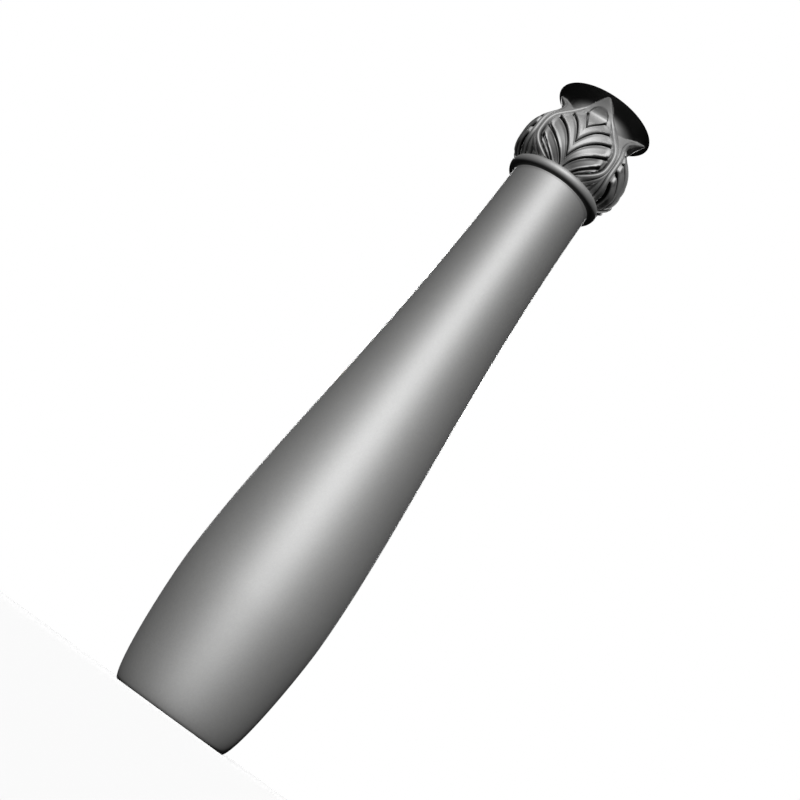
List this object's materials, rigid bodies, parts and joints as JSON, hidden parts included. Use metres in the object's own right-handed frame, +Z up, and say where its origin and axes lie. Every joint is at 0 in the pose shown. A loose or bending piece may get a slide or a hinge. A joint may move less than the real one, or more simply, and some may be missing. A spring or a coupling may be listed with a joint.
{
  "type": "stone baluster",
  "caption": "Round stone baluster: swelling shaft on a flat foot, neck ring, and a flared capital wrapped by upright carved leaves.",
  "frame": {"origin": "centre of the flat foot, on the surface it stands on", "axes": "+Z up along the shaft's axis; one leaf faces each of -Y, +X, +Y and -X"},
  "size_m": [0.148, 0.1478, 0.72],
  "materials": {
    "stone": "fine-grained grey stone, rubbed smooth"
  },
  "bodies": {
    "root": {"baluster": "stone"}
  },
  "joints": []
}
